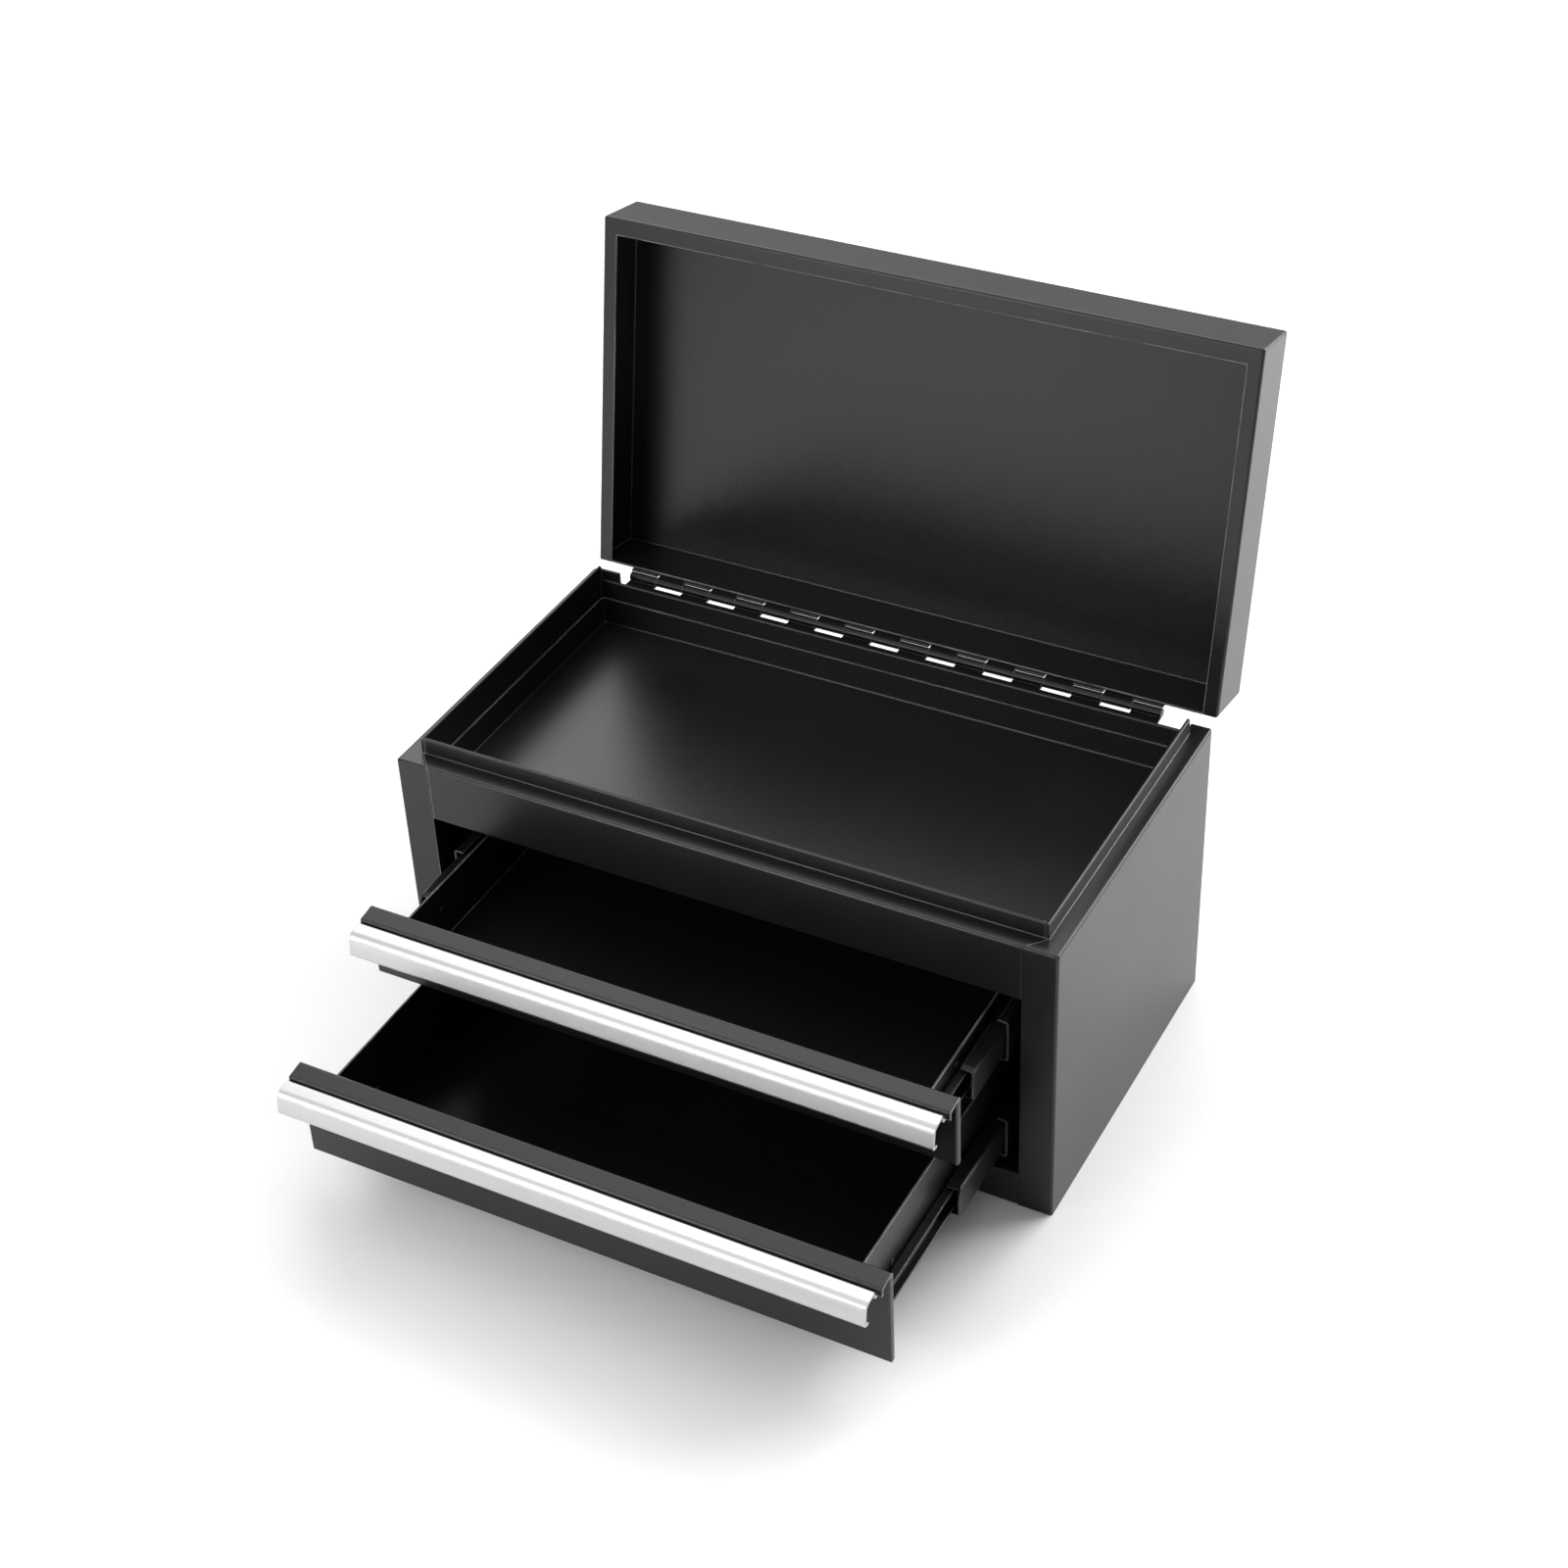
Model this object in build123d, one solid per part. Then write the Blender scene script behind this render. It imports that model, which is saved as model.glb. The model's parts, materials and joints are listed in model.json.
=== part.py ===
from build123d import *
import math
import os

os.makedirs("parts", exist_ok=True)

# ---------------------------------------------------------------- driving dimensions, mm
# Left to right is X, 0 in the middle. Y runs back from the cabinet's front. Z is up from the base.
width = 320.0               # cabinet and lid, side to side
depth = 172.0               # cabinet and lid, front to back
sheet_t = 0.8               # case, lid and drawer sheet
bend_r = 1.2                # outside radius of the bends
seam = 0.1                  # play in a tight seam of the case
open_seam = 0.5             # the open seam between the left stile and the header
lap = 0.1                   # play between sheets that lap

stile_w = 16.0              # front stile beside the drawers
jamb_deep = 8.8             # the stile's return behind the front
back_flange = 10.0          # the side's flange behind the back panel
rail_h = 18.5               # bottom rail
flange_deep = 10.0          # flanges behind the rail and the header
header_h = 29.0             # header, opening to ledge

lower_front_h = 50.2        # drawer fronts
upper_front_h = 36.3
gap_below = 1.0             # gaps round the drawer fronts
gap_between = 3.8
gap_above = 8.2
gap_beside = 2.4

ledge_side = 8.0            # ledge between the side and the upstand
ledge_front = 9.0
ledge_back = 7.6            # lowered ledge behind the tray, for the hinge
upstand_h = 8.0             # folded upstand above the ledge
upstand_back_h = 1.5        # the rear one
skirt_h = 15.0              # the fold's inner leaf below the ledge
rebate_h = 3.5              # the hinge's ledge below the main one
tab_long = 11.7             # left upstand's tab across the back
tab_h = 6.3

tray_room = 6.0             # tray floor above the drawer opening
tray_h = 14.7
tray_r = 1.6                # radius of the tray's corners
tray_edge_r = 0.3           # its dressed top edge

lid_h = 29.5                # lid, rim to top
lid_gap = 0.4               # lid rim above the ledge when shut
lid_lip_side = 7.0          # rim flanges
lid_lip_front = 8.0
lid_open = 100.0            # degrees, resting open

hinge_back = 3.6            # pin behind the cabinet
pin_r = 1.25
pin_play = 0.05             # running clearance round the pin
pin_inset = 0.2             # pin end inside the last knuckle
leaf_t = 0.9
hinge_inset_left = 19.5     # hinge from the cabinet's sides
hinge_inset_right = 25.0
knuckles = 19
knuckle_gap = 0.3
lower_leaf_w = 6.0          # lower leaf, lying on the rebate
cutout_deep = 0.5           # it is cut out between its knuckles from here, inside the back
upper_leaf_rise = 4.1       # upper leaf above the pin
upper_leaf_w = 16.2
upper_leaf_low = 0.3        # it reaches this far below the pin between its knuckles
joggle_r = 0.6

front_return = 3.0          # depth of the drawer front's shallow tray
front_r = 0.9
pan_gap = 17.0              # side of the drawer pan from the edge of the opening
pan_room = 15.0             # back of the shut pan from the back of the cabinet
wall_drop = 6.2             # pan walls below the top of the front
strip_out = 6.5             # top strip in front of the face
strip_fall = 1.3            # its slope
strip_lip = 4.0             # its turned-down lip
strip_r = 0.7
upper_out, lower_out = 57.0, 120.0      # how far each drawer stands open

grip_t = 1.3                # wall of the extruded handle
grip_out = 17.0             # its front, in front of the face
grip_h = 15.0               # its foot below the top of the strip
grip_drop = 1.2             # its top below the strip's front edge
grip_short = 2.7            # it stops short of the front's right-hand end
grip_play = 0.45            # round the strip's lip
grip_hook_h = 3.0           # leg that hooks up behind the lip
grip_lean = 1.35            # the grip's front leans out by this
grip_fall = 0.7             # and its top slopes down by this
grip_foot = 2.75            # curled edge at the bottom
grip_r = 0.95
grip_nose_r = 3.0           # the rounded edge between its top and front

slide_t = 0.9               # sheet of the slides
slide_inset = 3.0           # front of the shut slide, from the front of the cabinet
slide_room = 6.0            # back of the slide in front of the back of the pan
outer_extra = 2.0           # cabinet member longer than the others
inner_inset = 0.6           # drawer member set back from the front of the slide
slide_w = 10.1              # pan to upright
web_play = 0.7              # between the webs of the cabinet and middle members
outer_channel_w = 4.9       # width of the cabinet member
middle_channel_w = 6.3
inner_channel_w = 4.6       # width of the drawer member
outer_half_h = 10.8
middle_half_h = 8.2
inner_half_h = 5.6
slide_r = 1.0
slide_nose_r = 4.0          # rounded front corners of the middle member
upper_slide_up = 16.4       # middle of the slide above the bottom of the front
lower_slide_up = 14.5
upper_middle_share = 0.56   # middle member's share of the drawer's travel
lower_middle_share = 0.375

ball_r = 0.8
ball_play = 0.1             # hole in the cage round a ball
ball_inset = 1.25           # middle of a ball from the edge of the cage
cage_t = 0.3
cage_long = 46.0
cage_end = 4.0              # last ball from the end of the cage
cage_inset = 0.35           # edge of the cage inside the edge of the channel
cage_bend = 0.4
balls_per_row = 3

post_t = 1.0                # uprights that carry the slides
post_w = 15.0
post_inset = 21.0           # uprights from the ends of the slides
post_bend = 1.5

rivet_r = 1.5
rivet_head_r = 2.4
rivet_head_t = 0.6
corner_rivet_r = 1.0        # rivet through each side of a drawer, near its front
corner_head_r = 1.7
corner_rivet_y = 30.8
corner_rivet_up = 7.6       # above the middle of the slide

# ---------------------------------------------------------------- sizes that follow
half_w = width / 2
inner_w = half_w - sheet_t
stile_x = half_w - stile_w
hem_t = 2 * sheet_t
upstand_x = half_w - ledge_side
skirt_x = upstand_x - hem_t
back_y = depth - sheet_t
back_in = back_y - sheet_t - ledge_back

lower_low = rail_h + gap_below
lower_high = lower_low + lower_front_h
upper_low = lower_high + gap_between
upper_high = upper_low + upper_front_h
opening_high = upper_high + gap_above
ledge_z = opening_high + header_h
rebate_z = ledge_z - rebate_h
skirt_low = ledge_z - skirt_h
fold_top = ledge_z + upstand_h
back_top = ledge_z + upstand_back_h
tray_floor = opening_high + tray_room
tray_top = tray_floor + tray_h

bore_r = pin_r + pin_play
knuckle_r = bore_r + leaf_t
hinge_y = depth + hinge_back
hinge_z = rebate_z + leaf_t + bore_r
hinge_x0 = hinge_inset_left - half_w
hinge_x1 = half_w - hinge_inset_right
knuckle_w = (hinge_x1 - hinge_x0) / knuckles

half_front = stile_x - gap_beside
half_pan = stile_x - pan_gap
pan_back = depth - pan_room

slide_long = pan_back - slide_room - slide_inset
outer_x = half_pan + slide_w
middle_x = outer_x - slide_t - web_play
inner_x = half_pan + inner_channel_w
post_front = slide_inset + post_inset
post_rear = slide_inset + slide_long + outer_extra - post_inset
rivet_y = (post_front + post_w / 2, post_rear + post_w / 2)
cage_mid = slide_inset + slide_long / 2
upper_slide_z = upper_low + upper_slide_up
lower_slide_z = lower_low + lower_slide_up

over = 1.0                  # cutting blocks run past the sheet by this


# ---------------------------------------------------------------- shapes
def block(x0, x1, y0, y1, z0, z1):
    return Pos((x0 + x1) / 2, (y0 + y1) / 2, (z0 + z1) / 2) * Box(x1 - x0, y1 - y0, z1 - z0)


def profile(path, thick, bend):
    """Section of bent sheet. The path runs along the middle of the sheet, bend is its radius there.

    A list of bends has one radius for each corner.
    """
    half = thick / 2
    bends = bend if isinstance(bend, list) else [bend] * (len(path) - 2)
    steps = []
    for a, b in zip(path, path[1:]):
        length = math.dist(a, b)
        steps.append(((b[0] - a[0]) / length, (b[1] - a[1]) / length))
    faces = []
    for side in (half, -half):
        edges = []
        here = (path[0][0] - side * steps[0][1], path[0][1] + side * steps[0][0])
        for point, d0, d1, bend in zip(path[1:-1], steps, steps[1:], bends):
            turn = math.atan2(d0[0] * d1[1] - d0[1] * d1[0], d0[0] * d1[0] + d0[1] * d1[1])
            left = math.copysign(1, turn)
            cut = bend * math.tan(abs(turn) / 2)
            radius = bend - left * side
            centre = (point[0] - d0[0] * cut - left * bend * d0[1],
                      point[1] - d0[1] * cut + left * bend * d0[0])
            reach = math.dist(point, centre)
            mid = tuple(c + (p - c) / reach * radius for p, c in zip(point, centre))
            start = (centre[0] + left * radius * d0[1], centre[1] - left * radius * d0[0])
            end = (centre[0] + left * radius * d1[1], centre[1] - left * radius * d1[0])
            edges += [Line(here, start), ThreePointArc(start, mid, end)]
            here = end
        last = (path[-1][0] - side * steps[-1][1], path[-1][1] + side * steps[-1][0])
        faces.append(edges + [Line(here, last)])
    caps = [Line(faces[0][0] @ 0, faces[1][0] @ 0), Line(faces[0][-1] @ 1, faces[1][-1] @ 1)]
    return make_face(faces[0] + faces[1] + caps)


def along_x(face, x0, x1):
    """Extrude a face drawn in Y and Z."""
    return extrude(Plane((x0, 0, 0), x_dir=(0, 1, 0), z_dir=(1, 0, 0)) * face, x1 - x0)


def along_y(face, y0, y1):
    """Extrude a face drawn in X and Z."""
    return extrude(Plane((0, y1, 0), x_dir=(1, 0, 0), z_dir=(0, -1, 0)) * face, y1 - y0)


def along_z(face, z0, z1):
    return extrude(Plane((0, 0, z0)) * face, z1 - z0)


def rod_x(radius, x0, x1, y, z):
    return Pos((x0 + x1) / 2, y, z) * Rot(0, 90, 0) * Cylinder(radius, x1 - x0)


def edges_at(part, **where):
    """Edges whose middle has the given coordinates."""
    found = []
    for edge in part.edges():
        mid = edge.center()
        if all(abs(getattr(mid, axis.upper()) - value) < 1e-4 for axis, value in where.items()):
            found.append(edge)
    return found


def mirrored(part):
    return mirror(part, about=Plane.YZ)


def folded_strip(x0, x1, y0, y1, z0, z1):
    """The double upstand, its fold rounded at the top."""
    strip = block(x0, x1, y0, y1, z0, z1)
    runs_along = Axis.X if x1 - x0 > y1 - y0 else Axis.Y
    top = [e for e in strip.edges().filter_by(runs_along) if e.center().Z > z1 - sheet_t / 2]
    return fillet(top, sheet_t * 0.9)


# ---------------------------------------------------------------- case
def side_panel():
    outer = block(stile_x, half_w, 0, depth, 0, ledge_z)
    bends = edges_at(outer, x=half_w, y=0) + edges_at(outer, x=half_w, y=depth)
    bends += edges_at(outer, x=half_w, z=ledge_z) + edges_at(outer, y=0, z=ledge_z)
    outer = fillet(bends, bend_r)
    inner = block(stile_x - over, inner_w, sheet_t, back_y, -over, ledge_z - sheet_t)
    inner = fillet(edges_at(inner, x=inner_w), bend_r - sheet_t)
    panel = outer - inner
    panel -= block(stile_x - over, half_w - back_flange, back_in, depth + over,
                   -over, ledge_z - sheet_t)
    ledge_mitre = make_face(Polyline(
        (stile_x, -over), (stile_x, 0), (upstand_x, ledge_front), (upstand_x, depth + over),
        (stile_x - over, depth + over), (stile_x - over, -over), close=True))
    panel -= along_z(ledge_mitre, ledge_z - sheet_t, ledge_z + over)
    panel += block(stile_x, stile_x + sheet_t, sheet_t / 2, jamb_deep,
                   sheet_t, ledge_z - sheet_t - lap)
    fold_end = back_in + hem_t
    behind_tab = fold_end + lap + sheet_t + lap
    panel += folded_strip(skirt_x, upstand_x, ledge_front, fold_end, ledge_z - sheet_t, fold_top)
    panel += block(skirt_x, skirt_x + sheet_t, ledge_front + hem_t, back_in, skirt_low, ledge_z)
    panel += block(upstand_x, upstand_x + sheet_t, fold_end, back_y,
                   rebate_z, ledge_z - sheet_t / 2)
    panel += block(half_w - back_flange, upstand_x + sheet_t, behind_tab, depth,
                   ledge_z - sheet_t, ledge_z)
    return panel


def side_left():
    """The left side also has a tab turned from its upstand, across the back."""
    y0 = back_in + hem_t + lap
    z0, z1 = rebate_z + bend_r - sheet_t, ledge_z + tab_h
    panel = mirrored(side_panel())
    panel += block(-upstand_x, tab_long - upstand_x, y0, y0 + sheet_t, z0, z1)
    panel += block(-upstand_x, sheet_t - upstand_x, back_in - sheet_t, y0 + sheet_t, z0, z1)
    return panel


def header():
    mid = sheet_t / 2
    fold_y = ledge_front + mid
    path = [(flange_deep, opening_high + mid), (mid, opening_high + mid), (mid, ledge_z - mid),
            (fold_y, ledge_z - mid), (fold_y, fold_top - hem_t)]
    part = along_x(profile(path, sheet_t, bend_r - mid), -half_w, half_w)
    part += folded_strip(-half_w, half_w, ledge_front, ledge_front + hem_t,
                         ledge_z - mid, fold_top)
    part += block(-half_w, half_w, ledge_front + sheet_t, ledge_front + hem_t,
                  skirt_low, ledge_z)
    behind = ledge_front + hem_t + over
    for turn, play in ((lambda cut: cut, seam), (mirrored, open_seam)):
        face_end = stile_x - play
        mitre = make_face(Polyline(
            (face_end, -over), (face_end, 0), (upstand_x - play, ledge_front),
            (upstand_x - play, behind), (half_w + over, behind), (half_w + over, -over),
            close=True))
        cut = along_z(mitre, opening_high - over, ledge_z + over)
        cut += block(face_end, half_w + over, -over, fold_y,
                     opening_high - over, ledge_z - sheet_t)
        cut += block(face_end, half_w + over, -over, behind,
                     opening_high - over, skirt_low - lap)
        cut += block(skirt_x - open_seam, half_w + over, ledge_front, behind,
                     opening_high - over, fold_top + over)
        part -= turn(cut)
    return part


def back_panel():
    mid = sheet_t / 2
    wall_y = back_y - mid
    fold_y = back_in + hem_t - mid
    path = [(wall_y, 0), (wall_y, rebate_z - mid), (fold_y, rebate_z - mid),
            (fold_y, back_top - sheet_t)]
    reach = skirt_x - seam
    part = along_x(profile(path, sheet_t, bend_r - mid), -reach, reach)
    part += folded_strip(-reach, reach, back_in, back_in + hem_t, rebate_z - mid, back_top)
    part += block(-reach, reach, back_in, back_in + sheet_t, skirt_low, rebate_z)
    wing = inner_w - bend_r
    ledge_end = upstand_x - seam
    part += block(-wing, wing, wall_y - mid, wall_y + mid, 0, rebate_z - bend_r)
    part += block(-ledge_end, ledge_end, back_in + hem_t + lap, wall_y - bend_r,
                  rebate_z - sheet_t, rebate_z)
    return part


def base_pan():
    mid = sheet_t / 2
    path = [(2 * bend_r, mid), (mid, mid), (mid, rail_h - mid), (flange_deep, rail_h - mid)]
    rail_end = stile_x - seam
    floor_end = inner_w - bend_r
    back = back_y - sheet_t - seam
    part = along_x(profile(path, sheet_t, bend_r - mid), -rail_end, rail_end)
    part += block(-floor_end, floor_end, sheet_t + lap, back, 0, sheet_t)
    part += block(-floor_end, floor_end, back - sheet_t, back, 0, flange_deep)
    return part


def tray_pan():
    x1 = skirt_x
    y0, y1 = ledge_front + hem_t, back_in
    outer = block(-x1, x1, y0, y1, tray_floor, tray_top)
    outer = fillet(outer.edges().filter_by(Axis.Z), tray_r + sheet_t)
    outer = fillet(outer.faces().sort_by(Axis.Z)[0].edges(), tray_r)
    inner = block(-x1 + sheet_t, x1 - sheet_t, y0 + sheet_t, y1 - sheet_t,
                  tray_floor + sheet_t, tray_top + over)
    inner = fillet(inner.edges().filter_by(Axis.Z), tray_r)
    inner = fillet(inner.faces().sort_by(Axis.Z)[0].edges(), tray_r - sheet_t)
    tray = outer - inner
    return fillet(tray.faces().sort_by(Axis.Z)[-1].inner_wires().edges(), tray_edge_r)


def post(y0):
    """Upright of U section from the base to the tray, its web against the slides."""
    mid = post_t / 2
    y1 = y0 + post_w - mid
    path = [(inner_w, y0 + mid), (outer_x + mid, y0 + mid), (outer_x + mid, y1), (inner_w, y1)]
    part = along_z(profile(path, post_t, post_bend), sheet_t, tray_floor)
    for z in (upper_slide_z, lower_slide_z):
        part -= rod_x(rivet_r, outer_x - over, outer_x + post_t + over, y0 + post_w / 2, z)
    return part


# ---------------------------------------------------------------- lid and hinge
def tilt(part):
    """Turn a piece of the shut lid back to where it rests open."""
    return Pos(0, hinge_y, hinge_z) * Rot(-lid_open, 0, 0) * Pos(0, -hinge_y, -hinge_z) * part


def lid_shell():
    low = ledge_z + lid_gap
    high = low + lid_h
    outer = block(-half_w, half_w, 0, depth, low, high)
    rim = edges_at(outer, y=0, z=low) + edges_at(outer, x=half_w, z=low)
    rim += edges_at(outer, x=-half_w, z=low)
    top = outer.faces().sort_by(Axis.Z)[-1].edges()
    outer = fillet(rim + top + outer.edges().filter_by(Axis.Z), bend_r)
    inner = block(-inner_w, inner_w, sheet_t, back_y, low + sheet_t, high - sheet_t)
    inner = fillet(inner.edges(), bend_r - sheet_t)
    mouth_x = half_w - lid_lip_side
    mouth = block(-mouth_x, mouth_x, lid_lip_front, back_y, low - over, low + hem_t)
    return tilt(outer - inner - mouth)


def knuckle_spans(first):
    """X from and to of every second knuckle."""
    spans = []
    for i in range(first, knuckles, 2):
        x0 = hinge_x0 + i * knuckle_w + knuckle_gap / 2
        spans.append((x0, x0 + knuckle_w - knuckle_gap))
    return spans


def curled(tongue, x0, x1):
    """A tongue of the leaf curled into a knuckle, with its bore."""
    bore = rod_x(bore_r, x0 - over, x1 + over, hinge_y, hinge_z)
    return tongue + rod_x(knuckle_r, x0, x1, hinge_y, hinge_z) - bore


def hinge_lower_leaf():
    leaf_y = depth - cutout_deep
    top = rebate_z + leaf_t
    leaf = block(hinge_x0, hinge_x1, leaf_y - lower_leaf_w, leaf_y, rebate_z, top)
    for x0, x1 in knuckle_spans(0):
        leaf += curled(block(x0, x1, leaf_y - over, hinge_y, rebate_z, top), x0, x1)
    return leaf


def hinge_upper_leaf():
    low = hinge_z + upper_leaf_rise
    leaf = block(hinge_x0, hinge_x1, depth, depth + leaf_t, low, low + upper_leaf_w)
    mid_y = depth + leaf_t / 2
    mid_r = bore_r + leaf_t / 2
    away = (mid_y - hinge_y, low - hinge_z)
    angle = math.atan2(away[1], away[0]) + math.acos(mid_r / math.hypot(*away))
    touch = (hinge_y + mid_r * math.cos(angle), hinge_z + mid_r * math.sin(angle))
    joggle = profile([(mid_y, low + 2 * leaf_t), (mid_y, low), touch], leaf_t, joggle_r)
    for x0, x1 in knuckle_spans(1):
        leaf += curled(along_x(joggle, x0, x1), x0, x1)
    for x0, x1 in knuckle_spans(0):
        leaf += block(x0, x1, depth, depth + leaf_t, hinge_z - upper_leaf_low, low + leaf_t)
    return tilt(leaf)


def hinge_pin():
    return rod_x(pin_r, hinge_x0 + pin_inset, hinge_x1 - pin_inset, hinge_y, hinge_z)


# ---------------------------------------------------------------- drawers
def strip_under(high, y):
    """Height of the underside of a drawer's sloping top strip."""
    return high - sheet_t - strip_fall * (front_return - y) / (front_return + strip_out)


def drawer_pan(low, high, slide_z):
    mid = sheet_t / 2
    floor = low + sheet_t + lap
    path = [(front_return - mid, floor), (front_return - mid, high - mid),
            (-strip_out + mid, high - mid - strip_fall),
            (-strip_out + mid, high - strip_fall - strip_lip)]
    front = along_x(profile(path, sheet_t, strip_r), -half_front, half_front)
    ear = half_front - sheet_t - lap
    for x0, x1 in ((ear, half_front + over), (-half_front - over, -ear)):
        front -= block(x0, x1, sheet_t, front_return + over, floor - over, strip_under(high, 0))
    y0, y1 = front_return - sheet_t, pan_back
    pan = block(-half_pan, half_pan, y0, y1, floor, high - wall_drop)
    pan = fillet(edges_at(pan, x=half_pan, y=y1) + edges_at(pan, x=-half_pan, y=y1)
                 + edges_at(pan, x=half_pan, z=floor) + edges_at(pan, x=-half_pan, z=floor)
                 + edges_at(pan, y=y1, z=floor), bend_r)
    inner = block(-half_pan + sheet_t, half_pan - sheet_t, front_return, y1 - sheet_t,
                  floor + sheet_t, high)
    pan = pan - inner + front
    holes = [(y, slide_z, rivet_r) for y in rivet_y]
    holes.append((corner_rivet_y, slide_z + corner_rivet_up, corner_rivet_r))
    for y, z, radius in holes:
        for x0 in (half_pan - sheet_t, -half_pan):
            pan -= rod_x(radius, x0 - over, x0 + sheet_t + over, y, z)
    return pan


def drawer_face(low, high):
    top = strip_under(high, 0) - lap
    face = block(-half_front, half_front, 0, front_return, low, top)
    face = fillet(edges_at(face, x=half_front, y=0) + edges_at(face, x=-half_front, y=0)
                  + edges_at(face, y=0, z=low), front_r)
    inside = half_front - sheet_t
    return face - block(-inside, inside, sheet_t, front_return + over, low + sheet_t, high)


def handle(high):
    """Extrusion: a hook round the strip's lip, a flat top and a leaning front with a curled foot."""
    mid = grip_t / 2
    lip_front = -strip_out - mid
    lip_low = high - strip_fall - strip_lip
    hook_low = lip_low - grip_play - mid
    hook_back = -strip_out + sheet_t + grip_play + mid
    top = high - strip_fall - grip_drop - mid
    front = -grip_out + mid
    low = high - grip_h + mid
    path = [(hook_back, hook_low + grip_hook_h), (hook_back, hook_low), (lip_front, hook_low),
            (lip_front, top), (front + grip_lean, top - grip_fall), (front, low + mid),
            (front + grip_foot, low)]
    bends = [grip_r, grip_r, grip_r, grip_nose_r, grip_r]
    return along_x(profile(path, grip_t, bends), -half_front, half_front - grip_short)


def rivet(x0, x1, y, z, head_at, shank_r=rivet_r, head_r=rivet_head_r):
    """Rivet along X. Its head lies past x1, or past x0 where head_at is -1."""
    base = x1 if head_at > 0 else x0
    tip = base + head_at * rivet_head_t
    head = rod_x(head_r, min(base, tip), max(base, tip), y, z)
    head = fillet(head.faces().sort_by(Axis.X)[0 if head_at < 0 else -1].edges(),
                  rivet_head_t * 0.7)
    return rod_x(shank_r, x0, x1, y, z) + head


# ---------------------------------------------------------------- ball-bearing slides
def channel(web, lip, half_h, z, y0, long):
    """Channel with its web's back at web and its two flanges out to lip."""
    mid = slide_t / 2
    centre = web + math.copysign(mid, lip - web)
    path = [(lip, z + half_h - mid), (centre, z + half_h - mid),
            (centre, z - half_h + mid), (lip, z - half_h + mid)]
    return along_y(profile(path, slide_t, slide_r), y0, y0 + long)


def outer_member(z):
    part = channel(outer_x, outer_x - outer_channel_w, outer_half_h, z,
                   slide_inset, slide_long + outer_extra)
    for y in rivet_y:
        part -= rod_x(rivet_r, outer_x - slide_t - over, outer_x + over, y, z)
    return part


def middle_member(z, out):
    y0 = slide_inset - out
    lip = middle_x - middle_channel_w
    part = channel(middle_x, lip, middle_half_h, z, y0, slide_long)
    envelope = block(lip, middle_x, y0, y0 + slide_long, z - middle_half_h, z + middle_half_h)
    return part & fillet(edges_at(envelope, y=y0, x=(lip + middle_x) / 2), slide_nose_r)


def inner_member(z, out):
    part = channel(half_pan, inner_x, inner_half_h, z, slide_inset + inner_inset - out,
                   slide_long)
    for y in rivet_y:
        part -= rod_x(rivet_r, half_pan - over, half_pan + slide_t + over, y - out, z)
    return part


def ball_places(web, edge, half_h, z, out):
    """Centres of the balls: a row in each lip of the cage."""
    x = edge + math.copysign(ball_inset, web - edge)
    first = cage_mid - cage_long / 2 + cage_end - out
    step = (cage_long - 2 * cage_end) / (balls_per_row - 1)
    return [(x, first + i * step, z + up) for i in range(balls_per_row)
            for up in (half_h, -half_h)]


def ball_cage(web, edge, half_h, z, out):
    """Thin channel that spaces the balls, each in its own hole."""
    path = [(edge, z + half_h), (web, z + half_h), (web, z - half_h), (edge, z - half_h)]
    y0 = cage_mid - cage_long / 2 - out
    part = along_y(profile(path, cage_t, cage_bend), y0, y0 + cage_long)
    for place in ball_places(web, edge, half_h, z, out):
        part -= Pos(*place) * Cylinder(ball_r + ball_play, 4 * cage_t)
    return part


def between(outside, inside):
    """Middle of the gap inside one member's sheet and outside the next."""
    return (outside - slide_t + inside) / 2


outer_cage = (between(outer_x, middle_x), outer_x - outer_channel_w + cage_inset,
              between(outer_half_h, middle_half_h))
inner_cage = (between(middle_x, inner_x), middle_x - middle_channel_w + cage_inset,
              between(middle_half_h, inner_half_h))


# ---------------------------------------------------------------- the nodes
nodes = {
    "side_right": [side_panel()],
    "side_left": [side_left()],
    "header": [header()],
    "back_panel": [back_panel()],
    "base_pan": [base_pan()],
    "tray_pan": [tray_pan()],
    "hinge_lower_leaf": [hinge_lower_leaf()],
    "hinge_upper_leaf": [hinge_upper_leaf()],
    "hinge_pin": [hinge_pin()],
    "lid_shell": [lid_shell()],
    "cabinet_rivets": [],
}


def add_pair(name, part):
    """A node for the right-hand piece and one for its mirror image on the left."""
    nodes[f"{name}_right"] = [part]
    nodes[f"{name}_left"] = [mirrored(part)]


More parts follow.
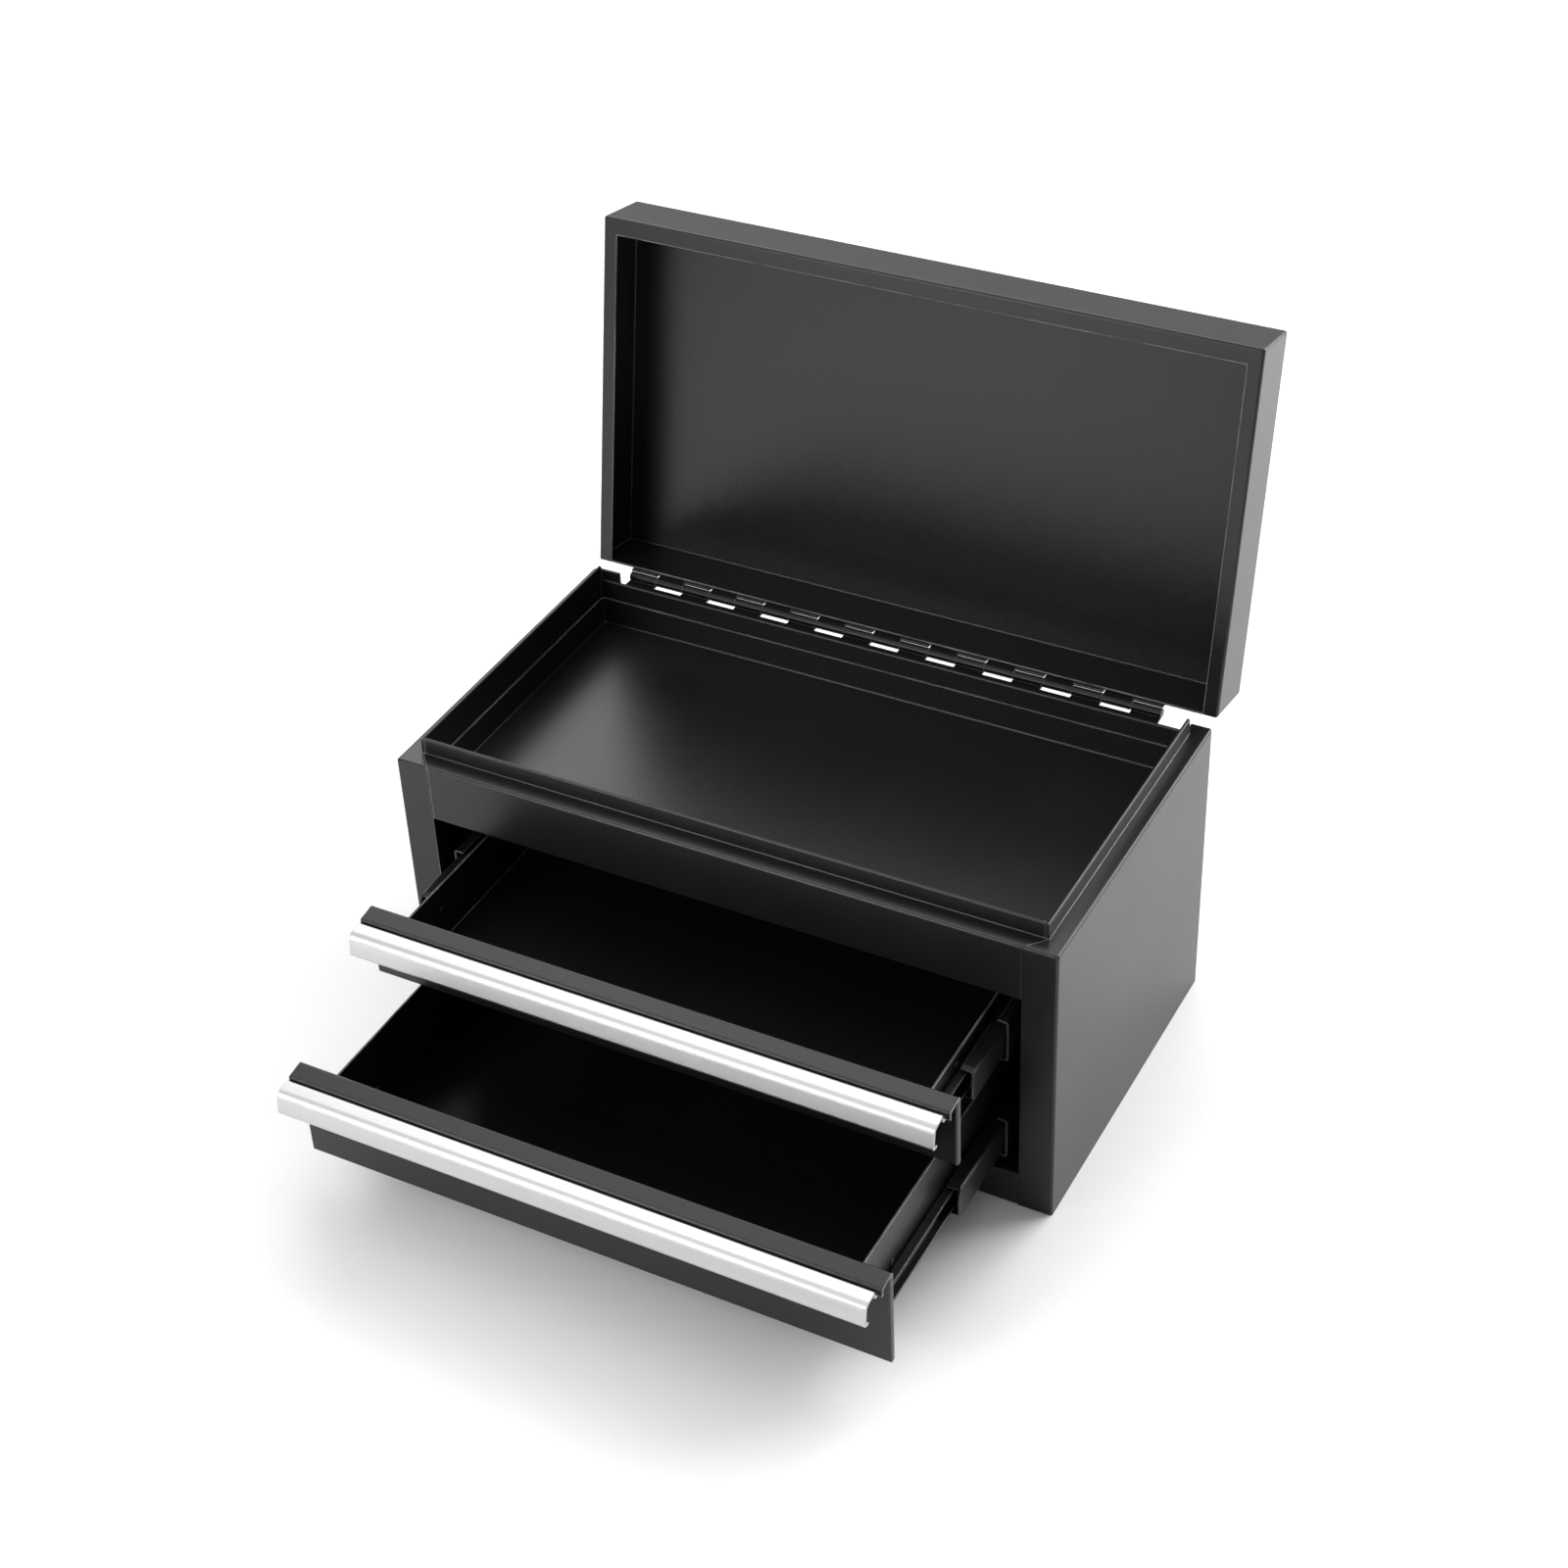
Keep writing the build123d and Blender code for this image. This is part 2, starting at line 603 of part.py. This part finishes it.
def add_drawer(tag, low, high, out, slide_z, share):
    """One drawer standing open by out, with its slides."""
    drawn = Pos(0, -out, 0)
    nodes[f"{tag}_pan"] = [drawn * drawer_pan(low, high, slide_z)]
    nodes[f"{tag}_face"] = [drawn * drawer_face(low, high)]
    nodes[f"{tag}_handle"] = [drawn * handle(high)]
    rivets = [rivet(half_pan - sheet_t, half_pan, corner_rivet_y, slide_z + corner_rivet_up, 1,
                    corner_rivet_r, corner_head_r)]
    for y in rivet_y:
        rivets.append(rivet(half_pan - sheet_t, half_pan + slide_t, y, slide_z, -1))
        held = rivet(outer_x - slide_t, outer_x + post_t, y, slide_z, 1)
        nodes["cabinet_rivets"] += [held, mirrored(held)]
    rivets = [drawn * part for part in rivets]
    nodes[f"{tag}_rivets"] = rivets + [mirrored(part) for part in rivets]
    middle_out = out * share
    add_pair(f"{tag}_slide_outer", outer_member(slide_z))
    add_pair(f"{tag}_slide_middle", middle_member(slide_z, middle_out))
    add_pair(f"{tag}_slide_inner", inner_member(slide_z, out))
    for name, cage, travel in (("outer", outer_cage, middle_out / 2),
                               ("inner", inner_cage, (middle_out + out) / 2)):
        strip = ball_cage(*cage, slide_z, travel)
        balls = [Pos(*p) * Sphere(ball_r) for p in ball_places(*cage, slide_z, travel)]
        nodes[f"{tag}_{name}_cages"] = [strip, mirrored(strip)]
        nodes[f"{tag}_{name}_balls"] = balls + [mirrored(ball) for ball in balls]


for place, y in (("front", post_front), ("rear", post_rear)):
    add_pair(f"post_{place}", post(y))
add_drawer("upper", upper_low, upper_high, upper_out, upper_slide_z, upper_middle_share)
add_drawer("lower", lower_low, lower_high, lower_out, lower_slide_z, lower_middle_share)

# The origin is the middle of the cabinet's base.
centre = Pos(0, -depth / 2, 0)
for name, pieces in nodes.items():
    shape = Compound(children=[solid for piece in pieces for solid in (centre * piece).solids()])
    export_step(shape, f"parts/{name}.step")
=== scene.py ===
import json
import math

import bmesh
import bpy
from mathutils import Matrix, Vector


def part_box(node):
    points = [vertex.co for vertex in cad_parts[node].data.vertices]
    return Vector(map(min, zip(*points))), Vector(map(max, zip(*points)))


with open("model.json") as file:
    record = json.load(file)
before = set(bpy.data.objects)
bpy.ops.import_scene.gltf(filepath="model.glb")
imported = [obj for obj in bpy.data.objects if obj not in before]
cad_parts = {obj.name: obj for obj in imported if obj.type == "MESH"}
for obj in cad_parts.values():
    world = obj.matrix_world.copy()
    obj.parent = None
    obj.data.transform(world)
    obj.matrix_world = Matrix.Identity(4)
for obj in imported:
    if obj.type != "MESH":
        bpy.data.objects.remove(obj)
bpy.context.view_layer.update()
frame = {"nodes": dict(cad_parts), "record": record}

MM = 0.001
X, Y, Z = range(3)

# ------------------------------------------------------------ camera, where the photograph was taken
CAMERA_PLACE = (0.4864, -0.8850, 0.8870)
CAMERA_YAW = math.radians(29.33)        # to the left of straight back
CAMERA_PITCH = math.radians(37.03)      # downwards
CAMERA_ROLL = math.radians(-2.72)
SENSOR_WIDTH = 36.0                     # in millimetres, as the focal length is
FOCAL_LENGTH = 64.64
NEAREST_SEEN = 10 * MM


def add_camera():
    forward = Vector((-math.sin(CAMERA_YAW) * math.cos(CAMERA_PITCH),
                      math.cos(CAMERA_YAW) * math.cos(CAMERA_PITCH),
                      -math.sin(CAMERA_PITCH)))
    level = Vector((math.cos(CAMERA_YAW), math.sin(CAMERA_YAW), 0))
    upright = level.cross(forward)
    right = math.cos(CAMERA_ROLL) * level + math.sin(CAMERA_ROLL) * upright
    up = math.cos(CAMERA_ROLL) * upright - math.sin(CAMERA_ROLL) * level
    data = bpy.data.cameras.new("camera")
    data.sensor_width = SENSOR_WIDTH
    data.lens = FOCAL_LENGTH
    data.clip_start = NEAREST_SEEN
    camera = bpy.data.objects.new("camera", data)
    camera.matrix_world = (Matrix.Translation(CAMERA_PLACE)
                           @ Matrix((right, up, -forward)).transposed().to_4x4())
    bpy.context.collection.objects.link(camera)
    bpy.context.scene.camera = camera


# ------------------------------------------------------------ shader maths
BEVEL_SAMPLES = 4
# How far a corner's rounding turns the normal, as 1 minus the cosine of the angle, where the painted
# edge highlight (patchy like worn paint) starts on the corner and where it is full.
WEAR_AND_HIGHLIGHT_STARTS, WEAR_AND_HIGHLIGHT_FULL = 0.03, 0.22


class Shader:
    """One material's node tree."""

    def __init__(self, name):
        self.material = bpy.data.materials.new(name)
        self.material.use_nodes = True
        self.tree = self.material.node_tree
        self.surface = self.tree.nodes["Principled BSDF"]

    def node(self, kind, settings=None, inputs=None):
        """A node of that type. Settings are set first, then the values or links of its sockets."""
        made = self.tree.nodes.new(kind)
        for key, value in (settings or {}).items():
            if key == "stops":
                self.set_stops(made.color_ramp, value)
            else:
                setattr(made, key, value)
        for key, value in (inputs or {}).items():
            self.feed(made.inputs[key], value)
        return made

    @staticmethod
    def set_stops(color_ramp, stops):
        """Give a new ramp's two stops their places and their levels of grey."""
        for element, (place, level) in zip(color_ramp.elements, stops):
            element.position = place
            element.color = (level, level, level, 1)

    def feed(self, socket, value):
        """Link a socket to a field or another socket, or set it to a constant."""
        if isinstance(value, Field):
            self.tree.links.new(value.socket, socket)
        elif isinstance(value, bpy.types.NodeSocket):
            self.tree.links.new(value, socket)
        else:
            socket.default_value = value

    def set(self, **values):
        """Set or link sockets of the surface; an underscore in a name stands for a space."""
        for key, value in values.items():
            self.feed(self.surface.inputs[key.replace("_", " ")], value)

    def own_place(self):
        """The piece's own coordinates, in metres."""
        return self.node("ShaderNodeTexCoord").outputs["Object"]

    def noise(self, size, detail, rough=0.5, scale=(1, 1, 1)):
        """Noise with blotches of about that size. A scale under 1 draws them out along its axis."""
        place = self.node("ShaderNodeMapping", inputs={"Vector": self.own_place(), "Scale": scale})
        made = self.node("ShaderNodeTexNoise",
                         inputs={"Vector": place.outputs["Vector"], "Scale": 1 / size,
                                 "Detail": detail, "Roughness": rough})
        return Field(self, made.outputs[0])

    def near(self, axis, middle, reach):
        """1 within reach of a place along an axis of the piece's own coordinates, else 0."""
        split = self.node("ShaderNodeSeparateXYZ", inputs={"Vector": self.own_place()})
        made = self.node("ShaderNodeMath", {"operation": "COMPARE"},
                         {0: split.outputs[axis], 1: middle, 2: reach})
        return Field(self, made.outputs[0])

    def ramp(self, value, start, end, low=0.0, high=1.0):
        """low up to start, high from end on, and a straight rise between them."""
        made = self.node("ShaderNodeValToRGB", {"stops": ((start, low), (end, high))}, {"Fac": value})
        return Field(self, made.outputs[0])

    def mix(self, share, first, second):
        """Mix of two colours, with that share of the second."""
        made = self.node("ShaderNodeMix", {"data_type": "RGBA"},
                         {"Factor": share, "A": first, "B": second})
        return made.outputs["Result"]

    def soft_edges(self, radius):
        """The normal with every corner rounded to that radius, and a mask of those corners."""
        rounded = self.node("ShaderNodeBevel", {"samples": BEVEL_SAMPLES}, {"Radius": radius}).outputs[0]
        flat = self.node("ShaderNodeNewGeometry").outputs["Normal"]
        agree = self.node("ShaderNodeVectorMath", {"operation": "DOT_PRODUCT"}, {0: rounded, 1: flat})
        turned = 1 - Field(self, agree.outputs["Value"])
        return rounded, self.ramp(turned, WEAR_AND_HIGHLIGHT_STARTS, WEAR_AND_HIGHLIGHT_FULL)

    def bump(self, height, distance, strength, rounded):
        """Relief of that depth in metres, on top of the rounded normal."""
        made = self.node("ShaderNodeBump", inputs={"Height": height, "Distance": distance,
                                                   "Strength": strength, "Normal": rounded})
        self.set(Normal=made.outputs[0])


class Field:
    """A number that varies over the surface; arithmetic on it adds Math nodes."""

    def __init__(self, shader, socket):
        self.shader = shader
        self.socket = socket

    def maths(self, operation, first, second):
        made = self.shader.node("ShaderNodeMath", {"operation": operation}, {0: first, 1: second})
        return Field(self.shader, made.outputs[0])

    def __add__(self, other):
        return self.maths("ADD", self, other)

    def __mul__(self, other):
        return self.maths("MULTIPLY", self, other)

    def __sub__(self, other):
        return self.maths("SUBTRACT", self, other)

    def __rsub__(self, other):
        return self.maths("SUBTRACT", other, self)

    __radd__ = __add__
    __rmul__ = __mul__


# ------------------------------------------------------------ finishes
COAT_DARK = (0.0055, 0.0055, 0.0057, 1)
COAT_LIGHT = (0.0090, 0.0090, 0.0092, 1)
COAT_RUBBED_AND_HIGHLIGHT = (0.74, 0.735, 0.72, 1)
DUST_TONE = (0.07, 0.07, 0.07, 1)
DUST_COVER = 0.10

STEEL_DARK = (0.005, 0.005, 0.005, 1)
STEEL_LIGHT = (0.011, 0.011, 0.011, 1)
STEEL_RUBBED_AND_HIGHLIGHT = (0.42, 0.42, 0.42, 1)

ALUMINIUM_DARK = (0.47, 0.475, 0.48, 1)
ALUMINIUM_LIGHT = (0.57, 0.575, 0.58, 1)

ZINC_DARK = (0.45, 0.45, 0.47, 1)
ZINC_LIGHT = (0.62, 0.62, 0.63, 1)
POLISHED_DARK = (0.7, 0.7, 0.71, 1)
POLISHED_LIGHT = (0.8, 0.8, 0.8, 1)

# The painted edge highlight is left off the joint between the header and the right stile, on the front.
STILE_WIDTH = 16 * MM
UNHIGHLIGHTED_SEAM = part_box("side_right")[1][X] - STILE_WIDTH
UNHIGHLIGHTED_SEAM_REACH = 1.2 * MM
FRONT_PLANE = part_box("side_right")[0][Y]
FRONT_PLANE_REACH = 1.5 * MM

DRAWER_BOXES = ("upper_pan", "lower_pan")
RIM_REACH = 8 * MM      # the walls' top edges lie no further than this from the top of their drawer box


def powder_coat(name, rims=()):
    """Semi-gloss black powder coat: fine orange peel, faint cloudiness, a little dust, and a painted
    highlight along the edges, patchy like worn paint.

    Where rims are given, the painted edge highlight is kept only near those heights.
    """
    coat = Shader(name)
    rounded, edge = coat.soft_edges(0.65 * MM)
    peel = coat.noise(1.6 * MM, detail=2.0)
    grain = coat.noise(0.5 * MM, detail=1.0)
    cloud = coat.noise(60 * MM, detail=3.0)
    # Patchiness of the painted edge highlight, as on worn paint.
    wear_and_highlight = coat.ramp(coat.noise(18 * MM, detail=3.0, rough=0.6), start=0.30, end=0.62, low=0.25)
    # No painted edge highlight on the front at the header-to-right-stile seam.
    seam_without_highlight = coat.near(X, UNHIGHLIGHTED_SEAM, UNHIGHLIGHTED_SEAM_REACH) * coat.near(Y, FRONT_PLANE, FRONT_PLANE_REACH)
    wear_and_highlight = wear_and_highlight * (1 - seam_without_highlight)
    if rims:
        wear_and_highlight = wear_and_highlight * sum(coat.near(Z, rim, RIM_REACH) for rim in rims)
    dust = coat.ramp(coat.noise(2.2 * MM, detail=4.0, rough=0.7), start=0.66, end=0.80)
    tone = coat.mix(cloud, COAT_DARK, COAT_LIGHT)
    dusty = coat.mix(dust * DUST_COVER, tone, DUST_TONE)
    # Edges are lightened almost to white: a painted highlight along the corners, patchy like worn paint.
    coat.set(Base_Color=coat.mix(edge * wear_and_highlight, dusty, COAT_RUBBED_AND_HIGHLIGHT),
             Roughness=cloud * 0.08 + dust * 0.06 + 0.27,
             Specular_IOR_Level=0.42)
    coat.bump(peel + grain * 0.5, distance=0.045 * MM, strength=0.9, rounded=rounded)
    return coat.material


def black_steel():
    """Slides, hinge, uprights and rivets: thin black finish that shows the steel's rolling lines."""
    steel = Shader("black_steel")
    rounded, edge = steel.soft_edges(0.4 * MM)
    lines = steel.noise(1.2 * MM, detail=2.0, rough=0.6, scale=(1, 0.06, 1))
    rub_and_highlight = steel.noise(12 * MM, detail=3.0, rough=0.6)
    tone = steel.mix(rub_and_highlight, STEEL_DARK, STEEL_LIGHT)
    # Edges are lightened towards pale grey: a painted highlight along the corners, patchy like a rubbed
    # finish.
    steel.set(Base_Color=steel.mix(edge * (rub_and_highlight * 0.6 + 0.5), tone, STEEL_RUBBED_AND_HIGHLIGHT),
              Roughness=rub_and_highlight * 0.14 + lines * 0.06 + 0.22,
              Specular_IOR_Level=0.28)
    steel.bump(lines, distance=0.03 * MM, strength=0.6, rounded=rounded)
    return steel.material


def satin_aluminium():
    """Anodised extrusion: fine brush lines along its length."""
    metal = Shader("satin_aluminium")
    rounded, _ = metal.soft_edges(0.3 * MM)
    brush = metal.noise(0.6 * MM, detail=3.0, rough=0.65, scale=(0.012, 1, 1))
    streak = metal.noise(4 * MM, detail=2.0, scale=(0.03, 1, 1))
    metal.set(Base_Color=metal.mix(streak, ALUMINIUM_DARK, ALUMINIUM_LIGHT),
              Metallic=1.0,
              Roughness=brush * 0.10 + streak * 0.05 + 0.31)
    metal.bump(brush, distance=0.02 * MM, strength=0.6, rounded=rounded)
    return metal.material


def plated_steel(name, dark, light, roughness):
    """Bare bright metal of the cages and balls: faintly cloudy, with that roughness at its smoothest."""
    metal = Shader(name)
    rounded, _ = metal.soft_edges(0.1 * MM)
    cloud = metal.noise(2 * MM, detail=3.0, rough=0.6)
    metal.set(Base_Color=metal.mix(cloud, dark, light),
              Metallic=1.0,
              Roughness=cloud * 0.12 + roughness)
    metal.bump(cloud, distance=0.01 * MM, strength=0.5, rounded=rounded)
    return metal.material


def dress_nodes():
    """Give each piece of the frame the finish of its slot, and the drawer boxes a coat of their own."""
    finishes = {
        "black_powder_coat": powder_coat("black_powder_coat"),
        "black_steel": black_steel(),
        "satin_aluminium": satin_aluminium(),
        "zinc_steel": plated_steel("zinc_steel", ZINC_DARK, ZINC_LIGHT, roughness=0.25),
        "bright_steel": plated_steel("bright_steel", POLISHED_DARK, POLISHED_LIGHT, roughness=0.08),
    }
    # The drawer boxes get a coat of their own whose painted edge highlight stays near the top edges of
    # their walls.
    rims = [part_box(pan)[1][Z] for pan in DRAWER_BOXES]
    drawer_coat = powder_coat("black_powder_coat_drawers", rims)
    for part in frame["record"]["subparts"]:
        finish = drawer_coat if part["node"] in DRAWER_BOXES else finishes[part["material_slot"]]
        slots = frame["nodes"][part["node"]].data.materials
        slots.clear()
        slots.append(finish)


# ------------------------------------------------------------ studio
FLOOR_SIZE = 12.0
FLOOR_TONE = (0.86, 0.86, 0.86, 1)
SKY_COLOUR = (1, 1, 1, 1)
SKY_GLOW = 0.34
CHEST_MIDDLE = (0, 0, 0.12)


def add_floor():
    """White paper under the chest, which isn't part of the object."""
    mesh = bpy.data.meshes.new("floor")
    shape = bmesh.new()
    bmesh.ops.create_grid(shape, x_segments=1, y_segments=1, size=FLOOR_SIZE / 2)
    shape.to_mesh(mesh)
    shape.free()
    floor = bpy.data.objects.new("floor", mesh)
    bpy.context.collection.objects.link(floor)
    paper = Shader("floor_paper")
    paper.set(Base_Color=FLOOR_TONE, Roughness=0.9, Specular_IOR_Level=0.1)
    mesh.materials.append(paper.material)


def add_sky():
    """Even light from all round."""
    world = bpy.data.worlds.new("studio")
    world.use_nodes = True
    sky = world.node_tree.nodes["Background"].inputs
    sky["Color"].default_value = SKY_COLOUR
    sky["Strength"].default_value = SKY_GLOW
    bpy.context.scene.world = world


def add_softbox(name, place, target, width, height, glow):
    """A rectangle of light aimed at the target; glow is the radiance of its face."""
    data = bpy.data.lights.new(name, "AREA")
    data.shape = "RECTANGLE"
    data.size = width
    data.size_y = height
    data.energy = glow * math.pi * width * height
    light = bpy.data.objects.new(name, data)
    aim = Vector(target) - Vector(place)
    light.matrix_world = Matrix.Translation(place) @ aim.to_track_quat("-Z", "Y").to_matrix().to_4x4()
    light.visible_camera = False
    bpy.context.collection.objects.link(light)


def add_studio():
    """A white floor under wide panels above and behind, and smaller lamps at the back and front left."""
    bpy.context.scene.view_settings.view_transform = "Standard"
    add_sky()
    add_floor()
    add_softbox("softbox_above", place=(-0.3, 0.3, 2.4), target=CHEST_MIDDLE,
                width=3.4, height=3.0, glow=0.95)
    add_softbox("wall_behind", place=(-0.6, 2.6, 2.5), target=CHEST_MIDDLE,
                width=4.0, height=3.0, glow=1.9)
    add_softbox("softbox_back_left", place=(-1.5, 1.7, 1.5), target=CHEST_MIDDLE,
                width=0.9, height=1.2, glow=1.3)
    add_softbox("softbox_back_right", place=(0.95, 1.25, 0.9), target=(0.4, 0.4, 0),
                width=1.3, height=1.3, glow=6.5)
    add_softbox("softbox_low_left", place=(-0.42, -1.05, 0.45), target=(-0.38, -0.85, 0),
                width=0.45, height=0.45, glow=12.0)
    add_softbox("softbox_front_left", place=(-0.7, -1.1, 1.35), target=CHEST_MIDDLE,
                width=0.7, height=0.7, glow=1.8)


add_camera()
dress_nodes()
add_studio()
